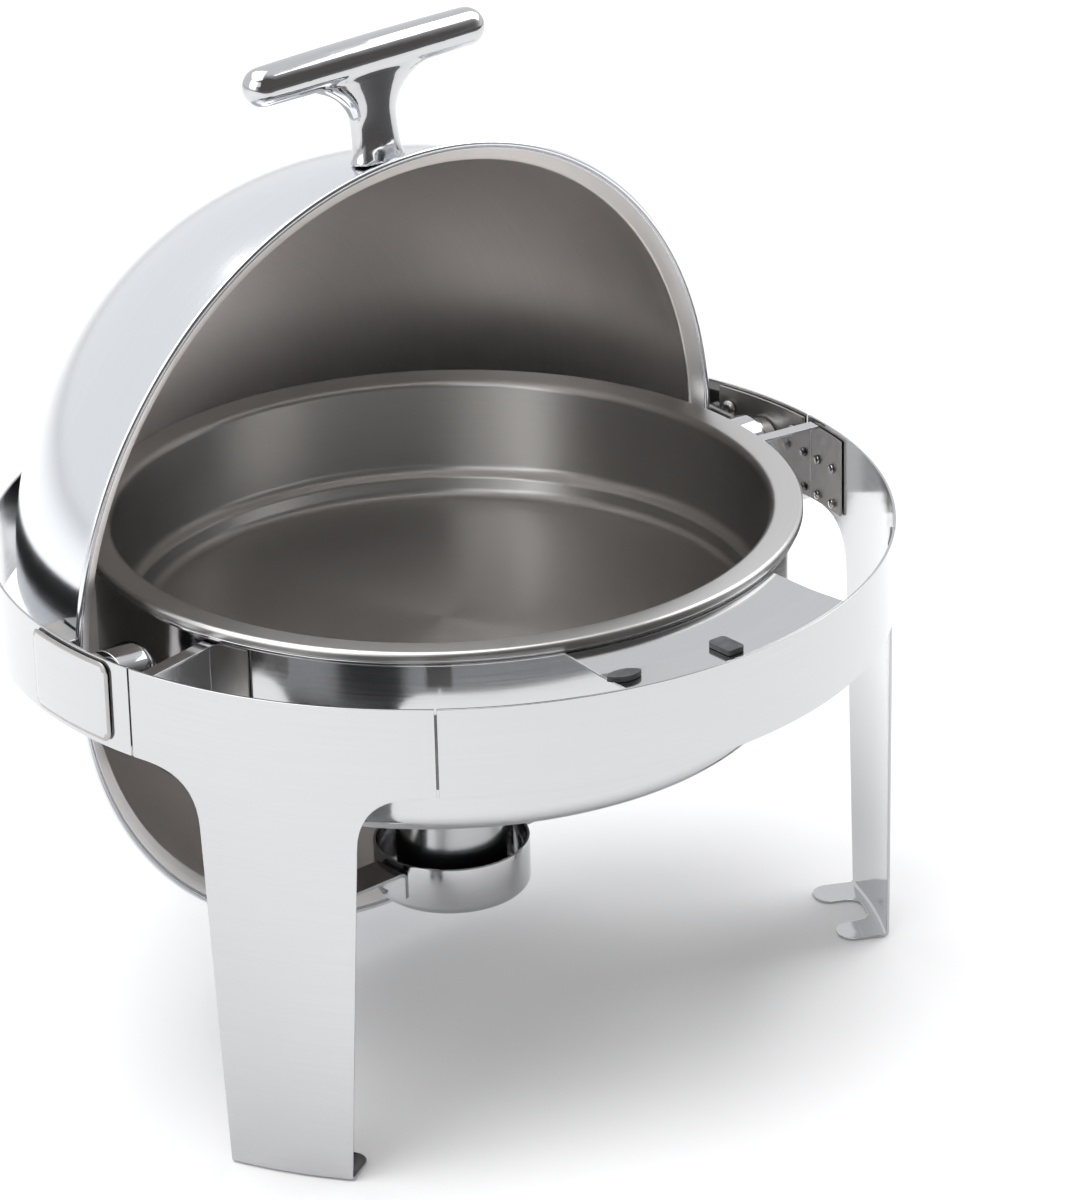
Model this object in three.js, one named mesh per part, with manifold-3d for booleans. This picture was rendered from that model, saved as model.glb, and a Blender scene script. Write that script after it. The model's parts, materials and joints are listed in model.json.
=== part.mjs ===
// Roll top chafer: a round stand on three legs, a water pan and a food pan inside it, a fuel holder
// below, and a domed cover that rolls about two side pivots to behind and below the pans.
//
// Millimetres. +Z is up and the front, where the operator stands, is -Y. The origin is on the floor
// under the ring's centre. Angles round the ring start at the front and grow towards +X.
import * as THREE from 'three';
import { mergeVertices } from 'three/addons/utils/BufferGeometryUtils.js';
import Module from 'manifold-3d';

const wasm = await Module();
wasm.setup();

const GAP = 0.3;
const DEG = Math.PI / 180;
const ARC_STEP = 4;
// How far a cutting solid runs past what it cuts.
const PAST = 10;

// The ring of upright sheet, and the legs that hang from it.
const SHEET = 1.5;
const RING_R = 242.5;
const RING_INNER_R = RING_R - SHEET;
const RING_TOP = 270;
const BAND_HEIGHT = 49;
const BAND_LOW = RING_TOP - BAND_HEIGHT;
const SEAM_HALF_ANGLE = 0.1;
const LEG_ANGLES = { left: -61.6, right: 61.6, rear: 180 };
const PANEL_HALF_ANGLE = 20;
const LEG_TOP_HALF = 44;
const LEG_FOOT_HALF = 33.5;
const LEG_FILLET = 30;
const FOOT_REACH = 28;
const FOOT_NOTCH_HALF = 13;
const FOOT_NOTCH_ROOT = 5;
const FOOT_CORNER = 9;
const FOOT_NOTCH_CORNER = 8;
const SPLICE_WIDTH_ANGLE = 5;
const SPLICE_SHEET = 1.2;
const SPLICE_MARGIN = 4;

// The pans.
const WATER = { radius: 186, bottom: 171.2, corner: 12, sheet: 1.4, rimRadius: 191.5, rimTop: 272.2 };
const FOOD = { bottom: 210, floorRadius: 158, wallFoot: 226, wallRadius: 175.2, sheet: 1.2, rimRadius: 193,
  rimTop: 278 };

// The cover and its pivots. Its own frame is the closed pose, with the origin on the pivot axis.
const PIVOT_Z = 246;
const RIM_OFFSET = 28;
const OPEN_ANGLE = 86;
const DOME_RADIUS = 213;
const DOME_DEPTH = 207;
const DOME_SHEET = 1;
const RIM_RADIUS = 224;
const RIM_SHEET = 1.6;
const RIM_FLARE = 5;
const RIM_BEAD = 3.6;
const PIN_RADIUS = 4;
const PIN_CLEARANCE = 0.3;
const ARM = { inner: 226.3, sheet: 2.5, halfWidth: 11, length: 62 };
const BLOCK = { low: 36, high: 60, halfWidth: 8, screws: [42, 54], screwHead: 4, screwHeight: 2.2 };
const BOSS = { radius: 13, outer: 238.2 };
const HUB = { radius: 17, inner: 201, cap: 4 };
const BEARING = { halfAngle: 8.1, sheet: 1.6, low: 223.5, high: 268.5 };
const BEARING_SCREW = { radius: 4.5, height: 2.6, offset: 6.2, z: 257 };
const HINGE_COVER = { angle: 92.5, halfAngle: 7.7, sheet: 2.2, low: 224.5, high: 268.5, corner: 6 };

// The brackets that carry the water pan.
const BRACKET = { webAngle: 80.4, flangeAngle: 72.6, sheet: 1.5, low: 222.5, high: 267, lip: 8 };
const RIVET = { radius: 2.6, height: 1.3, angles: [74.7, 78.4], heights: [227, 248] };

// The ledge in front of the pans, with its bumpers.
const LEDGE = { inner: 192.2, crease: 219, innerTop: 271.4, top: 269.4, sheet: 1.2, halfInner: 71.5,
  halfOuter: 77 };
const BUMPER = { top: 273.5, ring: 229, corner: 3 };

// The fuel holder.
const CUP = { radius: 43, bottom: 52, top: 80, sheet: 1.5, corner: 5 };
const CAN = { radius: 31, bottom: 54, top: 106, rim: 2, sheet: 0.8, mouth: 14 };
const HANGER = { width: 22, sheet: 2, level: 74, reach: 82, foot: 18, tab: 14 };

// The handle, in its own frame: the dome's surface is at z = 0 and the bar runs along X.
const HANDLE = { seat: 8, tilt: 12, barHeight: 56, halfLength: 80, barRadius: 11.6, bulbRadius: 10.5,
  stemHalf: 14, stemLow: 16, baseHalf: 17, depth: 20, screwRadius: 3 };

const metal = (color, roughness) => new THREE.MeshStandardMaterial({ color, roughness, metalness: 1 });
const POLISHED = metal(0xe4e5e6, 0.08);
const SATIN = metal(0xb5b3af, 0.32);
const CAST = metal(0xd2d3d5, 0.1);
const FIXING = metal(0xc9c9c9, 0.2);
const RUBBER = new THREE.MeshStandardMaterial({ color: 0x2e3031, roughness: 0.75, metalness: 0 });
const CAN_PAINT = metal(0xc4c6c8, 0.25);

// ---- solids ----

function signedVolume(position, index) {
  const a = new THREE.Vector3();
  const b = new THREE.Vector3();
  const c = new THREE.Vector3();
  let sum = 0;
  for (let i = 0; i < index.count; i += 3) {
    a.fromBufferAttribute(position, index.getX(i));
    b.fromBufferAttribute(position, index.getX(i + 1));
    c.fromBufferAttribute(position, index.getX(i + 2));
    sum += a.dot(b.cross(c));
  }
  return sum / 6;
}

// A manifold-3d solid from a closed three.js geometry, with its faces pointing out.
function solid(geometry) {
  const bare = geometry.clone();
  bare.deleteAttribute('normal');
  bare.deleteAttribute('uv');
  const merged = mergeVertices(bare, 1e-4);
  const inward = signedVolume(merged.attributes.position, merged.index) < 0;
  const triVerts = [];
  for (let i = 0; i < merged.index.count; i += 3) {
    const corners = [0, 1, 2].map((k) => merged.index.getX(i + k));
    if (new Set(corners).size === 3) triVerts.push(...(inward ? corners.reverse() : corners));
  }
  return new wasm.Manifold(new wasm.Mesh({
    numProp: 3,
    vertProperties: new Float32Array(merged.attributes.position.array),
    triVerts: new Uint32Array(triVerts),
  }));
}

function geometryOf(manifold) {
  const mesh = manifold.getMesh();
  const geometry = new THREE.BufferGeometry();
  geometry.setAttribute('position', new THREE.BufferAttribute(new Float32Array(mesh.vertProperties), 3));
  geometry.setIndex(new THREE.BufferAttribute(new Uint32Array(mesh.triVerts), 1));
  geometry.computeVertexNormals();
  return geometry;
}

function onRing(radius, angle) {
  return new THREE.Vector2(radius * Math.sin(angle * DEG), -radius * Math.cos(angle * DEG));
}

// Sheet curved round the ring's axis, between two radii, two angles and two heights.
function curvedSheet(inner, outer, from, to, low, high) {
  const steps = Math.max(1, Math.ceil((to - from) / ARC_STEP));
  const angles = Array.from({ length: steps + 1 }, (_, i) => from + ((to - from) * i) / steps);
  const outside = angles.map((angle) => onRing(outer, angle));
  const inside = angles.map((angle) => onRing(inner, angle)).reverse();
  const geometry = new THREE.ExtrudeGeometry(new THREE.Shape([...outside, ...inside]),
    { depth: high - low, bevelEnabled: false });
  return geometry.translate(0, 0, low);
}

// A solid of revolution about +Z from [radius, height] points.
function turned(profile, segments) {
  const points = profile.map(([radius, height]) => new THREE.Vector2(radius, height));
  return new THREE.LatheGeometry(points, segments).rotateX(Math.PI / 2);
}

// An outline from corners [x, y, radius], with each corner rounded.
function roundedShape(corners) {
  const shape = new THREE.Shape();
  corners.forEach(([x, y, radius], i) => {
    const corner = new THREE.Vector2(x, y);
    const [px, py] = corners[(i + corners.length - 1) % corners.length];
    const [nx, ny] = corners[(i + 1) % corners.length];
    const before = new THREE.Vector2(px, py).sub(corner).setLength(radius).add(corner);
    const after = new THREE.Vector2(nx, ny).sub(corner).setLength(radius).add(corner);
    if (i === 0) shape.moveTo(before.x, before.y);
    else shape.lineTo(before.x, before.y);
    if (radius > 0) shape.quadraticCurveTo(x, y, after.x, after.y);
  });
  shape.closePath();
  return shape;
}

function plate(shape, thickness, curveSegments = 3) {
  return new THREE.ExtrudeGeometry(shape, { depth: thickness, bevelEnabled: false, curveSegments });
}

// A round bar along +X from one x to another.
function barX(radius, from, to, segments = 24) {
  return new THREE.CylinderGeometry(radius, radius, to - from, segments)
    .rotateZ(Math.PI / 2).translate((from + to) / 2, 0, 0);
}

function mirrored(geometry) {
  return geometryOf(solid(geometry.clone().scale(-1, 1, 1)));
}

// ---- the assembly ----

const chafer = new THREE.Group();
const cover = new THREE.Group();
cover.position.z = PIVOT_Z;
cover.rotation.x = -OPEN_ANGLE * DEG;
chafer.add(cover);

function add(name, geometry, material, parent = chafer) {
  const mesh = new THREE.Mesh(geometry, material);
  mesh.name = name;
  parent.add(mesh);
  return mesh;
}

// A piece and its mirror image on the other side. The geometry is the right-hand one.
function addPair(name, geometry, material, parent = chafer) {
  add(`right_${name}`, geometry, material, parent);
  add(`left_${name}`, mirrored(geometry), material, parent);
}

// ---- ring and legs ----

function legPanel() {
  const half = PANEL_HALF_ANGLE - SEAM_HALF_ANGLE;
  const wide = RING_R + PAST;
  const outline = roundedShape([
    [-LEG_FOOT_HALF, 0, 0], [LEG_FOOT_HALF, 0, 0],
    [LEG_TOP_HALF, BAND_LOW, LEG_FILLET], [wide, BAND_LOW, 0],
    [wide, RING_TOP + PAST, 0], [-wide, RING_TOP + PAST, 0],
    [-wide, BAND_LOW, 0], [-LEG_TOP_HALF, BAND_LOW, LEG_FILLET],
  ]);
  const cutter = plate(outline, wide, 5).rotateX(Math.PI / 2);
  const sheet = solid(curvedSheet(RING_INNER_R, RING_R, -half, half, 0, RING_TOP)).intersect(solid(cutter));
  const inner = -(RING_INNER_R - FOOT_REACH);
  const root = -(RING_INNER_R - FOOT_NOTCH_ROOT);
  const footOutline = roundedShape([
    [-LEG_FOOT_HALF, -wide, 0], [LEG_FOOT_HALF, -wide, 0],
    [LEG_FOOT_HALF, inner, FOOT_CORNER], [FOOT_NOTCH_HALF, inner, FOOT_CORNER],
    [FOOT_NOTCH_HALF, root, FOOT_NOTCH_CORNER], [-FOOT_NOTCH_HALF, root, FOOT_NOTCH_CORNER],
    [-FOOT_NOTCH_HALF, inner, FOOT_CORNER], [-LEG_FOOT_HALF, inner, FOOT_CORNER],
  ]);
  const disc = curvedSheet(RING_INNER_R - 2 * FOOT_REACH, RING_R, -half, half, 0, SHEET);
  const foot = solid(plate(footOutline, SHEET)).intersect(solid(disc));
  return geometryOf(sheet.add(foot));
}

const panelGeometry = legPanel();
for (const [name, angle] of Object.entries(LEG_ANGLES)) {
  add(`${name}_leg_panel`, panelGeometry, POLISHED).rotation.z = angle * DEG;
}

const FRONT_SEAM = LEG_ANGLES.right - PANEL_HALF_ANGLE;
const SIDE_SEAM = LEG_ANGLES.right + PANEL_HALF_ANGLE;
const REAR_SEAM = LEG_ANGLES.rear - PANEL_HALF_ANGLE;

add('front_band', curvedSheet(RING_INNER_R, RING_R, -FRONT_SEAM + SEAM_HALF_ANGLE,
  FRONT_SEAM - SEAM_HALF_ANGLE, BAND_LOW, RING_TOP), POLISHED);
addPair('side_band', curvedSheet(RING_INNER_R, RING_R, SIDE_SEAM + SEAM_HALF_ANGLE,
  REAR_SEAM - SEAM_HALF_ANGLE, BAND_LOW, RING_TOP), POLISHED);

function splice(angle) {
  const outer = RING_INNER_R - 2 * GAP;
  return curvedSheet(outer - SPLICE_SHEET, outer, angle - SPLICE_WIDTH_ANGLE / 2,
    angle + SPLICE_WIDTH_ANGLE / 2, BAND_LOW + SPLICE_MARGIN, RING_TOP - SPLICE_MARGIN);
}

addPair('front_splice', splice(FRONT_SEAM), POLISHED);
addPair('rear_splice', splice(REAR_SEAM), POLISHED);

// ---- hinge pieces on the stand ----

function hingeCoverPlate() {
  const { angle, halfAngle, sheet, low, high, corner } = HINGE_COVER;
  const inner = RING_R + GAP;
  const blank = curvedSheet(inner, inner + sheet, -halfAngle, halfAngle, low, high);
  const half = (inner + sheet) * Math.sin(halfAngle * DEG);
  const outline = roundedShape([
    [-half, low, corner], [half, low, corner], [half, high, corner], [-half, high, corner],
  ]);
  const cutter = plate(outline, RING_R + PAST).rotateX(Math.PI / 2);
  return geometryOf(solid(blank).intersect(solid(cutter))).rotateZ(angle * DEG);
}

addPair('hinge_cover_plate', hingeCoverPlate(), POLISHED);

const BEARING_OUTER = RING_INNER_R - 2 * GAP;
const BEARING_INNER = BEARING_OUTER - BEARING.sheet;
addPair('bearing_plate', curvedSheet(BEARING_INNER, BEARING_OUTER, 90 - BEARING.halfAngle,
  90 + BEARING.halfAngle, BEARING.low, BEARING.high), FIXING);

const ARM_OUTER = ARM.inner + ARM.sheet;
const bossBar = solid(barX(BOSS.radius, ARM_OUTER + GAP, BOSS.outer));
const pinHole = solid(barX(PIN_RADIUS + PIN_CLEARANCE, ARM.inner - PAST, RING_R));
addPair('pivot_boss', geometryOf(bossBar.subtract(pinHole)).translate(0, 0, PIVOT_Z), CAST);

const pinShank = barX(PIN_RADIUS, HUB.inner + HUB.cap + GAP, BOSS.outer);
addPair('pivot_pin', pinShank.translate(0, 0, PIVOT_Z), FIXING);

// The outline of a low round head.
function headProfile(radius, height) {
  return [[0, 0], [radius, 0], [radius, height * 0.5], [radius * 0.6, height], [0, height]];
}

// A low round head on the inner face of something at the given radius.
function insideHead(headRadius, height, seatRadius, angle, z) {
  return turned(headProfile(headRadius, height), 14).rotateX(Math.PI / 2).rotateZ(Math.PI)
    .translate(0, -(seatRadius - GAP), 0).rotateZ(angle * DEG).translate(0, 0, z);
}

for (const [end, sign] of [['front', -1], ['rear', 1]]) {
  addPair(`bearing_screw_${end}`, insideHead(BEARING_SCREW.radius, BEARING_SCREW.height, BEARING_INNER - GAP,
    90 + sign * BEARING_SCREW.offset, BEARING_SCREW.z), FIXING);
}

// ---- pan brackets ----

function panBracket() {
  const { webAngle, flangeAngle, sheet, low, high, lip } = BRACKET;
  const outer = RING_INNER_R - 2 * GAP;
  const inner = WATER.radius + 2 * GAP;
  const onBand = curvedSheet(outer - sheet, outer, flangeAngle, webAngle, low, high);
  const onPan = curvedSheet(inner, inner + sheet, flangeAngle, webAngle, low, high);
  const run = outer - inner - sheet;
  const middle = (outer + inner) / 2;
  const web = new THREE.BoxGeometry(sheet, run, high - low).translate(sheet / 2, -middle, (high + low) / 2);
  const top = new THREE.BoxGeometry(lip, run, sheet).translate(-lip / 2 + sheet, -middle, high - sheet / 2);
  const pieces = [web, top].map((geometry) => solid(geometry.rotateZ((webAngle - 0.3) * DEG)));
  return geometryOf(solid(onBand).add(solid(onPan)).add(pieces[0]).add(pieces[1]));
}

addPair('pan_bracket', panBracket(), FIXING);
const RIVET_SEAT = RING_INNER_R - 2 * GAP - BRACKET.sheet - GAP;
RIVET.angles.forEach((angle, i) => RIVET.heights.forEach((z, j) => {
  const rivet = insideHead(RIVET.radius, RIVET.height, RIVET_SEAT, angle, z);
  addPair(`bracket_rivet_${i * 2 + j + 1}`, rivet, FIXING);
}));

// ---- pans ----

function waterPan() {
  const { radius, bottom, corner, sheet, rimRadius, rimTop } = WATER;
  const inner = radius - sheet;
  return turned([
    [0, bottom], [radius - corner, bottom], [radius - corner * 0.35, bottom + corner * 0.3],
    [radius, bottom + corner], [radius, rimTop - 2.5], [rimRadius, rimTop - 2.5], [rimRadius, rimTop],
    [inner, rimTop], [inner, bottom + corner], [inner - corner * 0.35, bottom + corner * 0.3 + sheet],
    [radius - corner, bottom + sheet], [0, bottom + sheet],
  ], 64);
}

add('water_pan', waterPan(), POLISHED);

function foodPan() {
  const { bottom, floorRadius, wallFoot, wallRadius, sheet, rimRadius, rimTop } = FOOD;
  const outer = wallRadius + sheet;
  return turned([
    [0, bottom], [floorRadius, bottom], [floorRadius + 9, bottom + 4], [floorRadius + 12, wallFoot - 6],
    [outer - 1, wallFoot], [outer, rimTop - 6], [outer + 2, rimTop - 2.4], [rimRadius - 3, rimTop - 2],
    [rimRadius - 3, rimTop - 5.3], [rimRadius - 0.6, rimTop - 5.3], [rimRadius, rimTop - 3],
    [rimRadius - 1.2, rimTop - 0.6], [rimRadius - 4, rimTop],
    [wallRadius + 3, rimTop - 1.1], [wallRadius, rimTop - 5], [wallRadius - 1, wallFoot],
    [floorRadius + 10.6, wallFoot - 5.6], [floorRadius + 8, bottom + 4.8],
    [floorRadius, bottom + sheet], [0, bottom + sheet],
  ], 64);
}

add('food_pan', foodPan(), SATIN);

// ---- front ledge ----

function frontLedge() {
  const { inner, crease, innerTop, top, sheet, halfInner, halfOuter } = LEDGE;
  const outer = RING_INNER_R - 2 * GAP;
  const ring = turned([
    [inner, innerTop - sheet], [crease, top - sheet], [outer, top - sheet], [outer, top], [crease, top],
    [inner, innerTop], [inner, innerTop - sheet],
  ], 96);
  const outline = new THREE.Shape([
    new THREE.Vector2(-halfInner, -inner * 0.9), new THREE.Vector2(-halfOuter, -RING_R),
    new THREE.Vector2(halfOuter, -RING_R), new THREE.Vector2(halfInner, -inner * 0.9),
  ]);
  return geometryOf(solid(ring).intersect(solid(plate(outline, RING_TOP * 2))));
}

add('front_ledge', frontLedge(), POLISHED);

// A rubber bumper: its length along the ring, its width across it and its angle round the ring.
function bumper(length, width, angle) {
  const { top, ring, corner } = BUMPER;
  const [x, y] = [length / 2, width / 2];
  const low = LEDGE.top + GAP;
  const outline = roundedShape([[-x, -y, corner], [x, -y, corner], [x, y, corner], [-x, y, corner]]);
  return plate(outline, top - low).translate(0, -ring, low).rotateZ(angle * DEG);
}

add('ledge_bumper_end', bumper(20, 10, -17.4), RUBBER);
add('ledge_bumper_middle', bumper(11, 17, -2), RUBBER);

// ---- fuel holder ----

function fuelCup() {
  const { radius, bottom, top, sheet, corner } = CUP;
  return turned([
    [0, bottom], [radius - corner, bottom], [radius - corner * 0.3, bottom + corner * 0.3],
    [radius, bottom + corner], [radius, top], [radius - sheet, top], [radius - sheet, bottom + corner],
    [radius - corner, bottom + sheet], [0, bottom + sheet],
  ], 40);
}

add('fuel_cup', fuelCup(), POLISHED);

function fuelCan() {
  const { radius, bottom, top, rim, sheet, mouth } = CAN;
  const lid = top - 3;
  return turned([
    [0, bottom], [radius - 1, bottom], [radius, bottom + 1], [radius, top - 1], [radius - 1, top],
    [radius - rim, top], [radius - rim, lid], [mouth, lid], [mouth, lid - sheet],
    [radius - sheet, lid - sheet], [radius - sheet, bottom + sheet], [0, bottom + sheet],
  ], 32);
}

add('fuel_can', fuelCan(), CAN_PAINT);

// A bent strip from the cup's side out, up and under the water pan.
function hangerArm() {
  const { width, sheet, level, reach, foot, tab } = HANGER;
  const near = CUP.radius + GAP;
  const high = WATER.bottom - GAP;
  const outline = new THREE.Shape([
    [near, level - tab], [near + sheet, level - tab], [near + sheet, level - sheet], [reach, level - sheet],
    [reach, high - sheet], [reach + foot, high - sheet], [reach + foot, high], [reach - sheet, high],
    [reach - sheet, level], [near, level],
  ].map(([x, z]) => new THREE.Vector2(x, z)));
  return plate(outline, width).rotateX(Math.PI / 2).translate(0, width / 2, 0);
}

addPair('fuel_hanger', hangerArm(), POLISHED);

// ---- cover ----

// The dome's [radius, height] outline from its rim to its crown.
function domeProfile(radius, depth) {
  const steps = 8;
  const arc = Array.from({ length: steps + 1 }, (_, i) => (i / steps) * (Math.PI / 2));
  return arc.map((t) => [radius * Math.cos(t), RIM_OFFSET + depth * Math.sin(t)]);
}

function handleFrame(geometry) {
  const t = HANDLE.seat * DEG;
  const height = RIM_OFFSET + DOME_DEPTH * Math.sin(t);
  return geometry.rotateX((90 - HANDLE.tilt) * DEG).translate(0, -DOME_RADIUS * Math.cos(t), height);
}

const HOLE_RADIUS = HANDLE.screwRadius + GAP;
const HOLE_LENGTH = 60;
const screwBore = () => new THREE.CylinderGeometry(HOLE_RADIUS, HOLE_RADIUS, HOLE_LENGTH, 16)
  .rotateX(Math.PI / 2);

function coverDome() {
  const outside = domeProfile(DOME_RADIUS, DOME_DEPTH);
  const inside = domeProfile(DOME_RADIUS - DOME_SHEET, DOME_DEPTH - DOME_SHEET).reverse();
  outside[0] = [DOME_RADIUS, RIM_OFFSET + RIM_FLARE + RIM_SHEET];
  outside[outside.length - 1][0] = 0;
  inside[0][0] = 0;
  inside[inside.length - 1][1] = RIM_OFFSET + RIM_FLARE;
  const beadFoot = RIM_RADIUS - RIM_BEAD;
  const rim = [
    [beadFoot, RIM_OFFSET + 1], [RIM_RADIUS - 2.6, RIM_OFFSET], [RIM_RADIUS - 1, RIM_OFFSET],
    [RIM_RADIUS, RIM_OFFSET + 1], [RIM_RADIUS, RIM_OFFSET + RIM_BEAD - 1],
    [RIM_RADIUS - 1, RIM_OFFSET + RIM_BEAD], [beadFoot, RIM_OFFSET + 1 + RIM_SHEET],
  ];
  const shell = solid(turned([...inside, ...rim, ...outside], 72));
  return geometryOf(shell.subtract(solid(handleFrame(screwBore()))));
}

add('cover_dome', coverDome(), SATIN, cover);

function coverArm() {
  const { inner, sheet, halfWidth, length } = ARM;
  const outline = roundedShape([
    [-halfWidth, -halfWidth, halfWidth], [halfWidth, -halfWidth, halfWidth],
    [halfWidth, length, halfWidth], [-halfWidth, length, halfWidth],
  ]);
  const blank = plate(outline, sheet, 6).rotateX(Math.PI / 2).rotateZ(Math.PI / 2).translate(inner, 0, 0);
  return geometryOf(solid(blank).subtract(pinHole));
}

addPair('cover_arm', coverArm(), FIXING, cover);

function spacerBlock() {
  const { low, high, halfWidth } = BLOCK;
  const outer = ARM.inner - GAP;
  const start = DOME_RADIUS - PAST;
  const blank = new THREE.BoxGeometry(outer - start, 2 * halfWidth, high - low)
    .translate((outer + start) / 2, 0, (low + high) / 2);
  const profile = domeProfile(DOME_RADIUS + 4 * GAP, DOME_DEPTH + 4 * GAP);
  profile[profile.length - 1][0] = 0;
  return geometryOf(solid(blank).subtract(solid(turned([[0, RIM_OFFSET], ...profile], 144))));
}

addPair('arm_block', spacerBlock(), FIXING, cover);
BLOCK.screws.forEach((z, i) => {
  const head = turned(headProfile(BLOCK.screwHead, BLOCK.screwHeight), 14).rotateY(Math.PI / 2)
    .translate(ARM_OUTER + GAP, 0, z);
  addPair(`arm_screw_${i + 1}`, head, FIXING, cover);
});

// The round hub that closes the pivot towards the pans. The pin ends inside it.
function pivotHub() {
  const { radius, inner, cap } = HUB;
  const bore = barX(PIN_RADIUS + PIN_CLEARANCE, inner + cap, ARM.inner);
  return geometryOf(solid(barX(radius, inner, ARM.inner - GAP)).subtract(solid(bore)));
}

addPair('pivot_hub', pivotHub(), CAST, cover);

// ---- handle ----

// The bar with its full ends, along X at the bar's height.
function handleBar() {
  const { barHeight, halfLength, barRadius, bulbRadius } = HANDLE;
  const neck = halfLength - bulbRadius;
  const bulb = [20, 50, 80].map((t) => onRing(bulbRadius, t)).map(({ x, y }) => [-y, neck + x]);
  const side = [[barRadius, 0], [barRadius * 0.96, neck * 0.5], [bulbRadius, neck], ...bulb, [0, halfLength]];
  const lower = side.slice(1).reverse().map(([r, z]) => [r, -z]);
  return turned([...lower, ...side], 20).rotateY(Math.PI / 2).translate(0, 0, barHeight);
}

// The stem, which spreads into its seat below and into the bar above.
function handleStem() {
  const { barHeight, halfLength, stemHalf, stemLow, baseHalf, depth } = HANDLE;
  const reach = halfLength * 0.6;
  const under = barHeight - 6;
  const web = new THREE.Shape();
  web.moveTo(-baseHalf, 0);
  web.quadraticCurveTo(-stemHalf, stemLow / 2, -stemHalf, stemLow);
  web.bezierCurveTo(-stemHalf, stemLow * 2, -stemHalf * 2, under - 2, -reach, under);
  web.lineTo(reach, under);
  web.bezierCurveTo(stemHalf * 2, under - 2, stemHalf, stemLow * 2, stemHalf, stemLow);
  web.quadraticCurveTo(stemHalf, stemLow / 2, baseHalf, 0);
  return plate(web, depth, 7).translate(0, 0, -depth / 2).rotateX(Math.PI / 2);
}

function handle() {
  const block = 8 * HANDLE.barRadius;
  const underside = new THREE.BoxGeometry(block, block, block).translate(0, 0, 2 * GAP - block / 2);
  const blank = solid(handleBar()).add(solid(handleStem()));
  return geometryOf(blank.subtract(solid(screwBore())).subtract(solid(underside)));
}

add('handle', handleFrame(handle()), CAST, cover);

// The screw and washer that hold the handle from inside the dome. Heights are in the handle's frame.
const WASHER = { radius: 8, hole: 3.4, height: 1.2, top: -DOME_SHEET - 8 * GAP };
const SCREW = { head: 5.2, height: 3, chamfer: 1.7, shank: HANDLE.screwRadius - 0.1, reach: 16 };
const WASHER_LOW = WASHER.top - WASHER.height;
const washer = solid(turned([
  [0, WASHER_LOW], [WASHER.radius, WASHER_LOW], [WASHER.radius, WASHER.top], [0, WASHER.top],
], 24)).subtract(solid(new THREE.CylinderGeometry(WASHER.hole, WASHER.hole, 20, 16).rotateX(Math.PI / 2)));
add('handle_washer', handleFrame(geometryOf(washer)), FIXING, cover);

const HEAD_TOP = WASHER_LOW - GAP;
const screw = turned([
  [0, HEAD_TOP - SCREW.height], [SCREW.head - SCREW.chamfer, HEAD_TOP - SCREW.height],
  [SCREW.head, HEAD_TOP - SCREW.height + SCREW.chamfer], [SCREW.head, HEAD_TOP],
  [SCREW.shank, HEAD_TOP], [SCREW.shank, SCREW.reach], [0, SCREW.reach],
], 16);
add('handle_screw', handleFrame(screw), FIXING, cover);

export default chafer;
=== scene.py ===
"""The looks of a roll top chafer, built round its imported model.

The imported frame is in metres: +Z up, the front towards -Y, the floor at z = 0 under the ring's centre.
Sizes here are in millimetres and are turned into metres where a mesh is made. Angles round the ring start
at the front and grow towards +X. The cover's pieces are made in the cover's own frame, where it is closed
and the pivot axis is the origin, and are then turned open about that axis.
"""
import json
import math

import bmesh
import bpy
from mathutils import Matrix, Vector


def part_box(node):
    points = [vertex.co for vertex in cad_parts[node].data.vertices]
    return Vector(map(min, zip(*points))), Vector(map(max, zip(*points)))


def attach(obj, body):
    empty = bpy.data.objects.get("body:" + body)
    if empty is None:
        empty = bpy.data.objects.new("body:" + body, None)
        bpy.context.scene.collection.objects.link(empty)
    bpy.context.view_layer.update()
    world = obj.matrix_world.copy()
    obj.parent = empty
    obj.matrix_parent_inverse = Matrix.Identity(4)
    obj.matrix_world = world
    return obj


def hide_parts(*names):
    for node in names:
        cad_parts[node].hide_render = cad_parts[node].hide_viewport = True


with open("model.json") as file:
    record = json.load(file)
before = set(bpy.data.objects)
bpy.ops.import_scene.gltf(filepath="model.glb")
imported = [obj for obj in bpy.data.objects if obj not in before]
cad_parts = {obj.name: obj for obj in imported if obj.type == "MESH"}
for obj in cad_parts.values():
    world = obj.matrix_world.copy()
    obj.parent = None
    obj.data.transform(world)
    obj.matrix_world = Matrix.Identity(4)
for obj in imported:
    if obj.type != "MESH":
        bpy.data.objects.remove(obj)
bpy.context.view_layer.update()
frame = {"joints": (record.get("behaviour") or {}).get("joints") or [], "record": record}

MM = 0.001
TURN_STEPS = 192
ARC_STEP = 1.5


def low(node):
    """The lowest corner of a CAD node, in millimetres."""
    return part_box(node)[0] / MM


def high(node):
    """The highest corner of a CAD node, in millimetres."""
    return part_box(node)[1] / MM


RECORD = frame["record"]
BODY_OF = {node: body for body, nodes in RECORD["behaviour"]["bodies"].items() for node in nodes}
ROLL = next(joint for joint in frame["joints"] if joint["name"] == "cover_roll")

# ---- sizes ----

GAP = 0.3
SHEET = 1.5
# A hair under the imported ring's 242.5, whose flat facets stand just inside a true circle.
RING_R = 242.35
RING_INNER = RING_R - SHEET
RING_TOP = high("front_band").z
BAND_LOW = low("front_band").z
LEG_ANGLES = {"left": -61.6, "right": 61.6, "rear": 180.0}
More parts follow.
